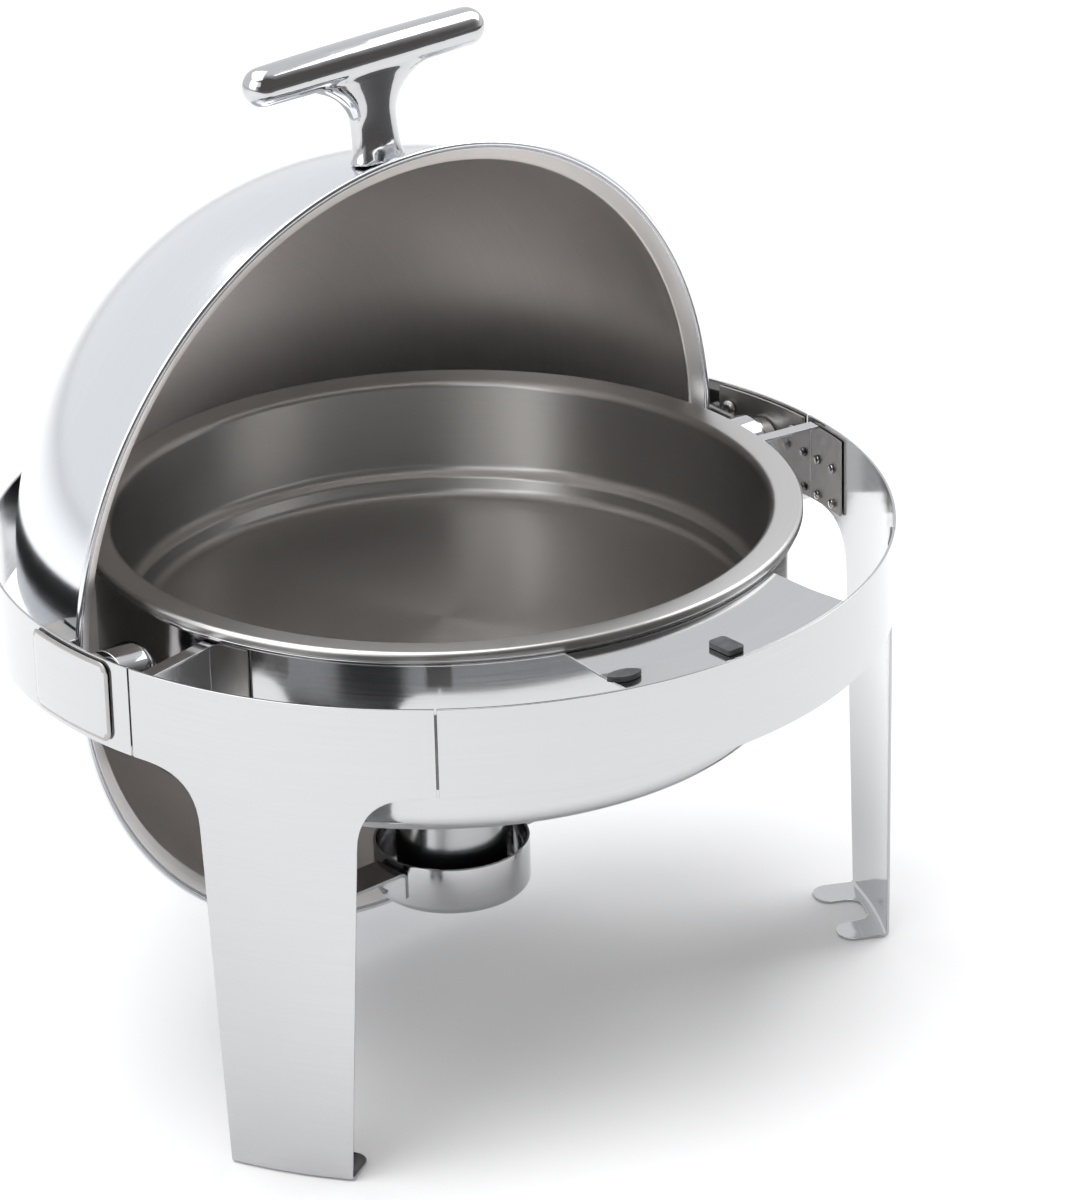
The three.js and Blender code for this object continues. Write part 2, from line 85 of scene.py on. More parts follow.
# How far each seam stands from its leg's middle and half its width, in degrees round the ring.
SEAM_OFFSET = 20.0
SEAM_HALF = 0.15
PANEL_HALF = SEAM_OFFSET - SEAM_HALF
FRONT_SEAM = LEG_ANGLES["right"] - SEAM_OFFSET
SIDE_SEAM = LEG_ANGLES["right"] + SEAM_OFFSET
REAR_SEAM = LEG_ANGLES["rear"] - SEAM_OFFSET
SPLICE_HALF = 2.5
SPLICE_MARGIN = 4.0
SPLICE_SHEET = 1.2
# The outer face of whatever is fixed inside the ring.
SEAT_R = RING_INNER - 2 * GAP

LEG_TOP_HALF = 44.0
LEG_FOOT_HALF = 33.5
# The leg's edges would reach its foot's width at this height, just under the floor.
LEG_END = -1.0
LEG_FILLET = 30.0
FOOT_BEND = 3.0
FOOT_END = RING_INNER - 28
FOOT_CORNER = 9.0
NOTCH_HALF = 13.0
NOTCH_ROOT = RING_INNER - 5
NOTCH_CORNER = 8.0

WATER_PAN_R = 186.0
BUMPER_TOP = high("ledge_bumper_middle").z

PIVOT_Z = ROLL["pos_m"][2] / MM
OPEN_ANGLE = -ROLL["range_deg"][0]
RIM_OFFSET = 28.0
DOME_R = 213.0
DOME_DEPTH = 207.0
RIM_R = 224.0

COVER = Matrix.Translation((0, 0, PIVOT_Z * MM)) @ Matrix.Rotation(math.radians(-OPEN_ANGLE), 4, "X")


# ---- outlines and meshes ----

def rounded(corners, closed=True, steps=6):
    """The points of an outline whose corners (x, y, radius) are rounded by arcs."""
    points = []
    last = len(corners) - 1
    for i, (x, y, radius) in enumerate(corners):
        corner = Vector((x, y))
        if radius == 0 or (not closed and i in (0, last)):
            points.append(corner)
            continue
        before = (Vector(corners[i - 1][:2]) - corner).normalized()
        after = (Vector(corners[(i + 1) % (last + 1)][:2]) - corner).normalized()
        half = before.angle(after) / 2
        centre = corner + (before + after).normalized() * (radius / math.sin(half))
        reach = radius / math.tan(half)
        start = corner + before * reach - centre
        end = corner + after * reach - centre
        first = math.atan2(start.y, start.x)
        turn = (math.atan2(end.y, end.x) - first + math.pi) % (2 * math.pi) - math.pi
        for k in range(steps + 1):
            angle = first + turn * k / steps
            points.append(centre + Vector((math.cos(angle), math.sin(angle))) * radius)
    return points


def smooth_shaded(mesh):
    mesh.polygons.foreach_set("use_smooth", [True] * len(mesh.polygons))
    return mesh


def new_mesh(name, points, faces, outward=True):
    """A smooth mesh from points in millimetres. A closed one gets its faces turned outward."""
    mesh = bpy.data.meshes.new(name)
    mesh.from_pydata([Vector(point) * MM for point in points], [], faces)
    if outward:
        bm = bmesh.new()
        bm.from_mesh(mesh)
        bmesh.ops.recalc_face_normals(bm, faces=bm.faces)
        bm.to_mesh(mesh)
        bm.free()
    return smooth_shaded(mesh)


def lathe(name, profile, steps=TURN_STEPS):
    """A body of revolution about Z. Its profile (radius, z) runs from axis to axis or closes on itself."""
    on_axis = profile[0][0] < 1e-6
    points, rows = [], []
    for radius, z in profile:
        count = 1 if radius < 1e-6 else steps
        start = len(points)
        for j in range(count):
            angle = 2 * math.pi * j / steps
            points.append((radius * math.cos(angle), radius * math.sin(angle), z))
        rows.append([start + j % count for j in range(steps + 1)])
    pairs = list(zip(rows, rows[1:]))
    if not on_axis:
        pairs.append((rows[-1], rows[0]))
    faces = []
    for one, two in pairs:
        for j in range(steps):
            loop = [one[j], one[j + 1], two[j + 1], two[j]]
            faces.append([v for k, v in enumerate(loop) if v != loop[k - 1]])
    return new_mesh(name, points, faces)


def skin(name, rows, flip=False):
    """One open sheet through rows of points, every row with the same count."""
    width = len(rows[0])
    points = [point for row in rows for point in row]
    faces = []
    for i in range(len(rows) - 1):
        for j in range(width - 1):
            a = i * width + j
            loop = [a, a + 1, a + width + 1, a + width]
            faces.append(loop[::-1] if flip else loop)
    return new_mesh(name, points, faces, outward=False)


def plate(name, outline, thickness, holes=()):
    """A flat plate on z = 0 that rises by its thickness, from an outline and holes of (x, y) points."""
    bm = bmesh.new()
    for loop in (outline, *holes):
        verts = [bm.verts.new((p[0] * MM, p[1] * MM, 0)) for p in loop]
        for k, vert in enumerate(verts):
            bm.edges.new((verts[k - 1], vert))
    bmesh.ops.triangle_fill(bm, use_beauty=True, use_dissolve=False, edges=bm.edges)
    raised = bmesh.ops.extrude_face_region(bm, geom=list(bm.faces))
    lifted = [item for item in raised["geom"] if isinstance(item, bmesh.types.BMVert)]
    bmesh.ops.translate(bm, verts=lifted, vec=(0, 0, thickness * MM))
    bmesh.ops.recalc_face_normals(bm, faces=bm.faces)
    mesh = bpy.data.meshes.new(name)
    bm.to_mesh(mesh)
    bm.free()
    return smooth_shaded(mesh)


def circle(radius, steps=32):
    turns = [2 * math.pi * k / steps for k in range(steps)]
    return [(radius * math.cos(t), radius * math.sin(t)) for t in turns]


def joined(name, *meshes):
    """One mesh that holds the shells of several."""
    bm = bmesh.new()
    for mesh in meshes:
        bm.from_mesh(mesh)
    result = bpy.data.meshes.new(name)
    bm.to_mesh(result)
    bm.free()
    return smooth_shaded(result)


def moved(mesh, matrix):
    """The mesh itself, put in its place. A mirroring matrix keeps its faces pointing out."""
    mesh.transform(matrix)
    if matrix.determinant() < 0:
        mesh.flip_normals()
    return mesh


def shift(x=0.0, y=0.0, z=0.0):
    return Matrix.Translation((x * MM, y * MM, z * MM))


def turn(degrees, axis):
    return Matrix.Rotation(math.radians(degrees), 4, axis)


MIRROR = Matrix.Scale(-1, 4, (1, 0, 0))


# ---- materials ----

# Most of a noise texture's values lie in this range.
NOISE_RANGE = (0.3, 0.7)


class Finish:
    """A material's node tree, with short calls for the nodes that the finishes share.

    A frame_of matrix is the one that put the piece in its place: the finish then follows the piece's own
    axes."""

    def __init__(self, name, color, roughness, metallic=1.0, frame_of=None):
        self.material = bpy.data.materials.new(name)
        self.material.use_nodes = True
        self.tree = self.material.node_tree
        self.shader = self.tree.nodes["Principled BSDF"]
        self.shader.inputs["Metallic"].default_value = metallic
        self.shader.inputs["Base Color"].default_value = (*color, 1)
        self.shader.inputs["Roughness"].default_value = roughness
        self.color = color
        self.object_point = self.node("ShaderNodeTexCoord").outputs["Object"]
        self.bump_normal = None
        if frame_of is not None:
            back = frame_of.inverted()
            place = self.node("ShaderNodeMapping")
            place.inputs["Rotation"].default_value = back.to_euler()
            place.inputs["Location"].default_value = back.to_translation()
            self.link(self.object_point, place.inputs["Vector"])
            self.object_point = place.outputs["Vector"]

    def node(self, kind, **settings):
        made = self.tree.nodes.new(kind)
        for key, value in settings.items():
            setattr(made, key, value)
        return made

    def link(self, source, target):
        self.tree.links.new(source, target)

    def stretched(self, scale):
        """The object's own coordinates, in metres, stretched per axis."""
        mapping = self.node("ShaderNodeMapping")
        mapping.inputs["Scale"].default_value = scale
        self.link(self.object_point, mapping.inputs["Vector"])
        return mapping.outputs["Vector"]

    def turned(self, around, along):
        """Coordinates of a lathe finish: little change round the axis, fast change across it."""
        parts = self.node("ShaderNodeSeparateXYZ")
        self.link(self.object_point, parts.inputs["Vector"])
        angle = self.node("ShaderNodeMath", operation="ARCTAN2")
        self.link(parts.outputs["Y"], angle.inputs[0])
        self.link(parts.outputs["X"], angle.inputs[1])
        flat = self.node("ShaderNodeCombineXYZ")
        self.link(parts.outputs["X"], flat.inputs["X"])
        self.link(parts.outputs["Y"], flat.inputs["Y"])
        radius = self.node("ShaderNodeVectorMath", operation="LENGTH")
        self.link(flat.outputs["Vector"], radius.inputs[0])
        place = self.node("ShaderNodeCombineXYZ")
        self.link(angle.outputs["Value"], place.inputs["X"])
        self.link(radius.outputs["Value"], place.inputs["Y"])
        self.link(parts.outputs["Z"], place.inputs["Z"])
        mapping = self.node("ShaderNodeMapping")
        mapping.inputs["Scale"].default_value = (around, along, along)
        self.link(place.outputs["Vector"], mapping.inputs["Vector"])
        return mapping.outputs["Vector"]

    def noise(self, vector, scale=1.0, detail=3.0):
        noise = self.node("ShaderNodeTexNoise")
        noise.inputs["Scale"].default_value = scale
        noise.inputs["Detail"].default_value = detail
        self.link(vector, noise.inputs["Vector"])
        return noise.outputs["Fac"]

    def ranged(self, value, low_value, high_value):
        """A noise value spread from one number to another."""
        spread = self.node("ShaderNodeMapRange")
        spread.inputs["From Min"].default_value = NOISE_RANGE[0]
        spread.inputs["From Max"].default_value = NOISE_RANGE[1]
        spread.inputs["To Min"].default_value = low_value
        spread.inputs["To Max"].default_value = high_value
        self.link(value, spread.inputs["Value"])
        return spread.outputs["Result"]

    def added(self, one, two):
        total = self.node("ShaderNodeMath", operation="ADD")
        self.link(one, total.inputs[0])
        self.link(two, total.inputs[1])
        return total.outputs["Value"]

    def vary_color(self, value, low_share, high_share):
        """The base colour between two shares of itself, as a noise value says."""
        blend = self.node("ShaderNodeMix", data_type="RGBA")
        blend.inputs["A"].default_value = (*[channel * low_share for channel in self.color], 1)
        blend.inputs["B"].default_value = (*[channel * high_share for channel in self.color], 1)
        self.link(self.ranged(value, 0.0, 1.0), blend.inputs["Factor"])
        self.link(blend.outputs["Result"], self.shader.inputs["Base Color"])

    def brushed(self, amount, axis):
        """Brushing round an axis, which spreads highlights across the brush lines. A quarter turn of the
        tangent sets their direction."""
        direction = self.node("ShaderNodeTangent", direction_type="RADIAL", axis=axis)
        self.link(direction.outputs["Tangent"], self.shader.inputs["Tangent"])
        self.shader.inputs["Anisotropic"].default_value = amount
        self.shader.inputs["Anisotropic Rotation"].default_value = 0.25

    def vary_roughness(self, value):
        self.link(value, self.shader.inputs["Roughness"])

    def bump(self, value, strength, depth):
        """A bump of a given depth in metres, over any bump that is there already."""
        node = self.node("ShaderNodeBump")
        node.inputs["Strength"].default_value = strength
        node.inputs["Distance"].default_value = depth
        self.link(value, node.inputs["Height"])
        if self.bump_normal:
            self.link(self.bump_normal, node.inputs["Normal"])
        self.bump_normal = node.outputs["Normal"]
        self.link(self.bump_normal, self.shader.inputs["Normal"])


def polished_sheet(name, color, roughness):
    """Rolled sheet, buffed along the ring: faint level buffing lines, smudges and a slow waviness."""
    finish = Finish(name, color, roughness)
    lines = finish.noise(finish.turned(3.0, 900.0), detail=4.0)
    smudges = finish.noise(finish.stretched((1, 1, 1)), scale=26.0, detail=5.0)
    finish.vary_roughness(finish.added(
        finish.ranged(lines, roughness * 0.75, roughness * 1.4),
        finish.ranged(smudges, 0.0, 0.035)))
    finish.vary_color(lines, 0.965, 1.0)
    finish.bump(finish.noise(finish.stretched((1, 1, 1)), scale=11.0, detail=1.0), 0.25, 0.0006)
    return finish.material


def spun(name, color, roughness, spread=0.1, ring_share=0.9, frame_of=None, axis="Z", brushing=0.0):
    """Sheet that was spun and then brushed on the lathe: fine rings round its axis over soft patches."""
    finish = Finish(name, color, roughness, frame_of=frame_of)
    if brushing:
        finish.brushed(brushing, axis)
    rings = finish.noise(finish.turned(0.6, 1300.0), detail=5.0)
    patches = finish.noise(finish.stretched((1, 1, 1)), scale=9.0, detail=4.0)
    finish.vary_roughness(finish.added(
        finish.ranged(rings, roughness - spread * 0.5, roughness + spread * 0.5),
        finish.ranged(patches, -0.01, 0.02)))
    finish.vary_color(rings, ring_share, 1.0)
    finish.bump(rings, 0.03, 0.00002)
    return finish.material


def cast(name, color, roughness):
    """A polished casting: bright, with slow soft hollows and small polishing marks."""
    finish = Finish(name, color, roughness)
    marks = finish.noise(finish.stretched((60, 900, 900)), detail=3.0)
    finish.vary_roughness(finish.ranged(marks, roughness * 0.7, roughness * 1.8))
    finish.vary_color(marks, 0.94, 1.0)
    finish.bump(finish.noise(finish.stretched((1, 1, 1)), scale=45.0, detail=1.5), 0.35, 0.0005)
    return finish.material


def plain_metal(name, color, roughness):
    """Pressed and turned small parts: fine scratches and duller patches."""
    finish = Finish(name, color, roughness)
    scratches = finish.noise(finish.stretched((90, 420, 90)), detail=2.0)
    dull = finish.noise(finish.stretched((1, 1, 1)), scale=70.0, detail=3.0)
    finish.vary_roughness(finish.added(
        finish.ranged(scratches, roughness * 0.85, roughness * 1.2),
        finish.ranged(dull, -0.01, 0.04)))
    finish.vary_color(dull, 0.93, 1.03)
    finish.bump(scratches, 0.04, 0.00002)
    return finish.material


def rubber(name, color, roughness):
    """Moulded rubber: a fine grain under a greyer bloom."""
    finish = Finish(name, color, roughness, metallic=0.0)
    grain = finish.noise(finish.stretched((1, 1, 1)), scale=2600.0, detail=4.0)
    bloom = finish.noise(finish.stretched((1, 1, 1)), scale=160.0, detail=3.0)
    finish.vary_color(bloom, 0.8, 1.7)
    finish.vary_roughness(finish.ranged(grain, roughness - 0.12, roughness + 0.12))
    finish.bump(grain, 0.4, 0.0001)
    return finish.material


POLISHED = polished_sheet("polished_steel", (0.54, 0.542, 0.55), 0.1)
# The splices behind the seams take this dark steel so that the narrow seam gaps in front of them show as
# painted shade.
SEAM_SHADE = plain_metal("seam_painted_shade", (0.22, 0.215, 0.21), 0.4)
COVER_OUTSIDE = spun("cover_outside", (0.74, 0.755, 0.78), 0.17, 0.04, 0.97, COVER, "Y")
COVER_INSIDE = spun("cover_inside", (0.94, 0.905, 0.88), 0.36, 0.04, 0.96, COVER, "Y", 0.4)
PAN = spun("pan_satin", (0.56, 0.55, 0.54), 0.3, 0.03, 0.96, None, "Z", 0.7)
FIXING = plain_metal("fixing_steel", (0.4, 0.385, 0.37), 0.34)
CAST = cast("cast_chrome", (0.55, 0.55, 0.56), 0.055)
CAN = spun("tinplate", (0.62, 0.63, 0.64), 0.2, 0.04, 0.95)
RUBBER = rubber("bumper_rubber", (0.045, 0.048, 0.052), 0.6)


# ---- pieces ----

# Edges sharper than this are broken, in degrees.
BEVEL_FROM = 38


def piece(node, mesh, *materials, thickness=0.0, edge=0.0, edge_steps=2, matrix=None):
    """A finished piece that stands for one CAD node and rides on its body.

    A thickness makes a sheet solid inward, and edge is the width that its edges are broken by."""
    made = bpy.data.objects.new(node + "_fine", mesh)
    bpy.context.scene.collection.objects.link(made)
    for material in materials:
        mesh.materials.append(material)
    if matrix is not None:
        mesh.transform(matrix)
    if thickness:
        solidify = made.modifiers.new("sheet", "SOLIDIFY")
        solidify.thickness = thickness * MM
        solidify.offset = -1
        solidify.use_even_offset = True
    if edge:
        bevel = made.modifiers.new("edge", "BEVEL")
        bevel.width = edge * MM
        bevel.segments = edge_steps
        bevel.limit_method = "ANGLE"
        bevel.angle_limit = math.radians(BEVEL_FROM)
        bevel.harden_normals = True
    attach(made, BODY_OF[node])
    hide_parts(node)
    return made


def pair(name, mesh, *materials, **options):
    """The right-hand piece and its mirror image."""
    piece("left_" + name, moved(mesh.copy(), MIRROR), *materials, **options)
    piece("right_" + name, mesh, *materials, **options)


def on_ring(radius, angle, z):
    radians = math.radians(angle)
    return (radius * math.sin(radians), -radius * math.cos(radians), z)


def evenly(start, end, steps=3):
    return [start + (end - start) * k / steps for k in range(steps + 1)]


def ring_sheet(name, radius, start, end, bottom, top):
    """The outer skin of upright sheet bent round the ring."""
    steps = max(2, math.ceil((end - start) / ARC_STEP))
    angles = evenly(start, end, steps)
    return skin(name, [[on_ring(radius, angle, z) for angle in angles] for z in evenly(bottom, top)])


def leg_sheet():
    """The outer skin of a leg panel: a stretch of ring, the leg that narrows downward and a bent-in foot."""
    columns, wings, fillet_rows, leg_rows, bend_rows = 24, 3, 10, 12, 4
    across = [2 * j / columns - 1 for j in range(columns + 1)]
    edge_step = Vector((LEG_FOOT_HALF - LEG_TOP_HALF, LEG_END - BAND_LOW)).normalized() * LEG_FILLET
    fillet_half = LEG_TOP_HALF + edge_step.x
    fillet_low = BAND_LOW + edge_step.y
    fillet_end = LEG_TOP_HALF + LEG_FILLET
    wing_half = RING_R * math.sin(math.radians(PANEL_HALF))
    wing = [fillet_end + (wing_half - fillet_end) * j / wings for j in range(1, wings + 1)]
    band_row = [-x for x in reversed(wing)] + [fillet_end * share for share in across] + wing
    rows = [[(x, z) for x in band_row] for z in evenly(RING_TOP, BAND_LOW)]
    for k in range(1, fillet_rows + 1):
        t = 1 - k / fillet_rows
        z = BAND_LOW - (1 - t) ** 2 * (BAND_LOW - fillet_low)
        half = (1 - t) ** 2 * fillet_half + 2 * t * (1 - t) * LEG_TOP_HALF + t * t * fillet_end
        rows.append([(half * share, z) for share in across])
    for k in range(1, leg_rows + 1):
        z = fillet_low + (FOOT_BEND - fillet_low) * k / leg_rows
        half = LEG_FOOT_HALF + (LEG_TOP_HALF - LEG_FOOT_HALF) * (z - LEG_END) / (BAND_LOW - LEG_END)
        rows.append([(half * share, z) for share in across])
    points, index = [], []
    for row in rows:
        index.append(list(range(len(points), len(points) + len(row))))
        points.extend((x, -math.sqrt(RING_R ** 2 - x * x), z) for x, z in row)
    half = rows[-1][-1][0]
    for k in range(1, bend_rows + 1):
        bend = math.radians(90 * k / bend_rows)
        inward = FOOT_BEND * (1 - math.cos(bend))
        z = FOOT_BEND * (1 - math.sin(bend))
        index.append(list(range(len(points), len(points) + columns + 1)))
        for x in [half * share for share in across]:
            points.append((x, inward - math.sqrt(RING_R ** 2 - x * x), z))
    faces = []
    for one, two in zip(index, index[1:]):
        skip = (len(one) - len(two)) // 2
        for j in range(len(two) - 1):
            faces.append([one[j + skip], two[j], two[j + 1], one[j + skip + 1]])
    outline = rounded([
        (half, -NOTCH_ROOT, 0), (half, -FOOT_END, FOOT_CORNER), (NOTCH_HALF, -FOOT_END, FOOT_CORNER),
        (NOTCH_HALF, -NOTCH_ROOT, NOTCH_CORNER), (-NOTCH_HALF, -NOTCH_ROOT, NOTCH_CORNER),
        (-NOTCH_HALF, -FOOT_END, FOOT_CORNER), (-half, -FOOT_END, FOOT_CORNER), (-half, -NOTCH_ROOT, 0)])
    sole = list(range(len(points), len(points) + len(outline)))
    points.extend((x, y, 0) for x, y in outline)
    faces.append((index[-1] + sole)[::-1])
    return new_mesh("leg_panel", points, faces, outward=False)


def stand_ring():
    edge = {"thickness": SHEET, "edge": 0.35}
    for name, angle in LEG_ANGLES.items():
        piece(f"{name}_leg_panel", moved(leg_sheet(), turn(angle, "Z")), POLISHED, **edge)
    front = ring_sheet("front", RING_R, SEAM_HALF - FRONT_SEAM, FRONT_SEAM - SEAM_HALF, BAND_LOW, RING_TOP)
    piece("front_band", front, POLISHED, **edge)
    side = ring_sheet("side", RING_R, SIDE_SEAM + SEAM_HALF, REAR_SEAM - SEAM_HALF, BAND_LOW, RING_TOP)
    pair("side_band", side, POLISHED, **edge)
    # The splices are dark so that the seam gaps in front of them show painted shade.
    for name, angle in (("front_splice", FRONT_SEAM), ("rear_splice", REAR_SEAM)):
        mesh = ring_sheet(name, SEAT_R, angle - SPLICE_HALF, angle + SPLICE_HALF,
                          BAND_LOW + SPLICE_MARGIN, RING_TOP - SPLICE_MARGIN)
        pair(name, mesh, SEAM_SHADE, thickness=SPLICE_SHEET, edge=0.25)


def hinge_cover():
    """The pressed plate outside each pivot. Its edges roll back to the ring."""
    angle, half_angle, sheet, roll, corner = 92.5, 7.7, 1.0, 4.5, 6.0
    bottom, top, chord_radius, half_steps = 224.5, 268.5, 245.0, 14
    # How far the plate's middle stands out past its edge, and how far up that step the rolled edge takes the
    # darker fixing steel as a painted dark outline.
    standoff, shaded_edge_standoff = 1.1, 0.95
    middle, half_height = (bottom + top) / 2, (top - bottom) / 2
    half_width = chord_radius * math.sin(math.radians(half_angle))
    # Rows and columns crowd towards the edges, where the plate curves.
    spread = [math.sin(math.pi / 2 * k / half_steps) for k in range(-half_steps, half_steps + 1)]
    rows = []
    for v in spread:
        z = v * half_height
        inset = max(0.0, abs(z) - (half_height - corner))
        reach = half_width - corner + math.sqrt(max(0.0, corner ** 2 - inset ** 2))
        row = []
        for u in spread:
            x = u * reach
            dx, dz = abs(x) - (half_width - corner), abs(z) - (half_height - corner)
            outside = math.hypot(max(dx, 0), max(dz, 0)) + min(max(dx, dz), 0)
            depth = min(1.0, max(0.0, (corner - outside) / roll))
            radius = RING_R + GAP + sheet + standoff * math.sqrt(1 - (1 - depth) ** 2)
            row.append(on_ring(radius, angle + math.degrees(x / RING_R), middle + z))
        rows.append(row)
    mesh = skin("hinge_cover", rows)
    # The rolled edge is given the darker fixing steel: painted shade and a painted dark reflection along the
    # plate's outline.
    for polygon in mesh.polygons:
        radius = math.hypot(polygon.center.x, polygon.center.y) / MM
        polygon.material_index = 1 if radius < RING_R + GAP + sheet + shaded_edge_standoff else 0
    pair("hinge_cover_plate", mesh, POLISHED, FIXING, thickness=sheet, edge=0.2)


def button_head(name, radius, height, recess):
    """A low domed head on z = 0 with a round recess."""
    profile = rounded([(0, 0, 0), (radius, 0, 0.3), (radius, height * 0.45, height * 0.3),
                       (radius * 0.62, height, height * 0.5), (recess, height, 0.2),
                       (recess * 0.9, height * 0.45, 0.1), (0, height * 0.4, 0)], closed=False, steps=4)
    return lathe(name, profile, 40)


def rivet_head(name, radius, height):
    """A round head on z = 0 over a short straight rim."""
    profile = [(0, 0), (radius, 0), (radius, height * 0.25)]
    profile += [(radius * math.cos(t), height * (0.25 + 0.75 * math.sin(t)))
                for t in (math.pi / 2 * k / 8 for k in range(1, 8))]
    return lathe(name, profile + [(0, height)], 32)


def facing_in(seat_radius, angle, z):
    """Puts a head that stands on z = 0 onto an inner face, pointing at the ring's axis."""
    return turn(angle, "Z") @ shift(0, -seat_radius, z) @ turn(-90, "X")


def facing_x(x, z=0.0):
    """Lays a piece that was turned about Z along X, with its foot at x."""
    return shift(x, 0, z) @ turn(90, "Y")


def pivots():
    """Each side's bearing plate, screws, boss and pin on the stand, and the hub that turns on the pin."""
    plate_half, plate_low, plate_high, plate_sheet = 8.1, 223.5, 268.5, 1.6
    bearing = ring_sheet("bearing", SEAT_R, 90 - plate_half, 90 + plate_half, plate_low, plate_high)
    pair("bearing_plate", bearing, FIXING, thickness=plate_sheet, edge=0.3)
    screw_angle, screw_z = 6.2, 257.0
    for end, sign in (("front", -1), ("rear", 1)):
        place = facing_in(SEAT_R - plate_sheet - 2 * GAP, 90 + sign * screw_angle, screw_z)
        pair(f"bearing_screw_{end}", moved(button_head("bearing_screw", 4.5, 2.6, 2.0), place), FIXING)

    bore, boss_radius, boss_deep, boss_start = 4.3, 13.0, 9.1, 229.1
    boss = rounded([(bore, 0, 0.4), (boss_radius, 0, 1.2), (boss_radius, boss_deep, 1.6),
                    (bore, boss_deep, 0.4)])
    pair("pivot_boss", moved(lathe("boss", boss, 64), facing_x(boss_start, PIVOT_Z)), CAST)

    hub_start, hub_deep, hub_radius, cap = 201.0, 25.0, 17.0, 4.2
    pin_start, pin_end, pin_radius = hub_start + cap + GAP, 238.2, 4.0
    pin = rounded([(0, 0, 0), (pin_radius, 0, 0.5), (pin_radius, pin_end - pin_start, 0.8),
                   (0, pin_end - pin_start, 0)], closed=False)
    pair("pivot_pin", moved(lathe("pin", pin, 48), facing_x(pin_start, PIVOT_Z)), FIXING)
    hub = rounded([(0, 0, 0), (hub_radius * 0.55, 0, 5), (hub_radius, 5, 7), (hub_radius, hub_deep, 0.5),
                   (bore, hub_deep, 0.4), (bore, cap, 0.3), (0, cap, 0)], closed=False, steps=8)
    pair("pivot_hub", moved(lathe("hub", hub, 72), facing_x(hub_start)), CAST, matrix=COVER)


def strip(name, path, width):
    """A bent strip: a path in the x-z plane, as wide as given along y. Its skin faces the path's left."""
    rows = [[(p[0], -width / 2 + width * k / 2, p[1]) for k in range(3)] for p in path]
    return skin(name, rows)


def pan_bracket():
    """A U of sheet between the ring and the water pan, with a lip on top of its web."""
    web, flange, bottom, top, lip = 80.4, 72.6, 222.5, 267.0, 8.0
    outer = SEAT_R
    inner = WATER_PAN_R + 2 * GAP
    arc = evenly(web, flange, 5)
    plan = [on_ring(outer, angle, 0)[:2] for angle in reversed(arc)]
    plan += [on_ring(inner, angle, 0)[:2] for angle in arc]
    channel = skin("bracket", [[(x, y, z) for x, y in plan] for z in evenly(bottom, top)])
    run = evenly(inner + SHEET, outer - SHEET)
    lid = skin("lip", [[(x, -radius, top) for x in (-lip, 0.0)] for radius in run])
    lid_turn = 0.3
    moved(lid, turn(web - lid_turn, "Z"))
    mesh = joined("bracket", channel, lid)
    # The web and its lip are bright; the flanges on the ring and the pan are dull.
    for polygon in mesh.polygons:
        radius = math.hypot(polygon.center.x, polygon.center.y) / MM
        polygon.material_index = 1 if inner + 1 < radius < outer - 1 else 0
    pair("pan_bracket", mesh, FIXING, POLISHED, thickness=SHEET, edge=0.25)
    places = [(angle, z) for angle in (74.7, 78.4) for z in (227, 248)]
    for k, (angle, z) in enumerate(places):
        place = facing_in(outer - SHEET - 2 * GAP, angle, z)
        pair(f"bracket_rivet_{k + 1}", moved(rivet_head("rivet", 2.6, 1.3), place), CAST)


def pans():
    """The water pan that the stand carries and the food pan that sits in it."""
    top = high("water_pan").z
    bottom = low("water_pan").z
    sheet, rim, rim_drop = 1.4, 191.5, 2.5
    water = rounded([
        (0, bottom, 0), (WATER_PAN_R, bottom, 13), (WATER_PAN_R, top - rim_drop, 1.2),
        (rim, top - rim_drop, 0.9), (rim, top, 0.9), (WATER_PAN_R - sheet, top, 1.6),
        (WATER_PAN_R - sheet, bottom + sheet, 11.6), (0, bottom + sheet, 0)], closed=False, steps=10)
    piece("water_pan", lathe("water_pan", water), POLISHED)

    top = high("food_pan").z
    bottom = low("food_pan").z
    sheet, wall, floor, step, rim, rim_drop = 1.2, 175.2, 158.0, 226.0, 193.0, 5.3
    food = rounded([
        (0, bottom, 0), (floor + 10, bottom, 7), (floor + 12.6, step - 6, 4), (wall + sheet - 1, step - 2, 5),
        (wall + sheet, top - 2.2, 3), (rim - 3, top - 2.2, 0.8), (rim - 3, top - rim_drop, 0.7),
        (rim, top - rim_drop, 1.1), (rim, top, 2.4), (wall, top - 0.9, 4.5), (wall - 1, step - 1, 6),
        (floor + 11, step - 4.6, 3), (floor + 8.5, bottom + sheet, 6), (0, bottom + sheet, 0)],
        closed=False, steps=8)
    piece("food_pan", lathe("food_pan", food), PAN)


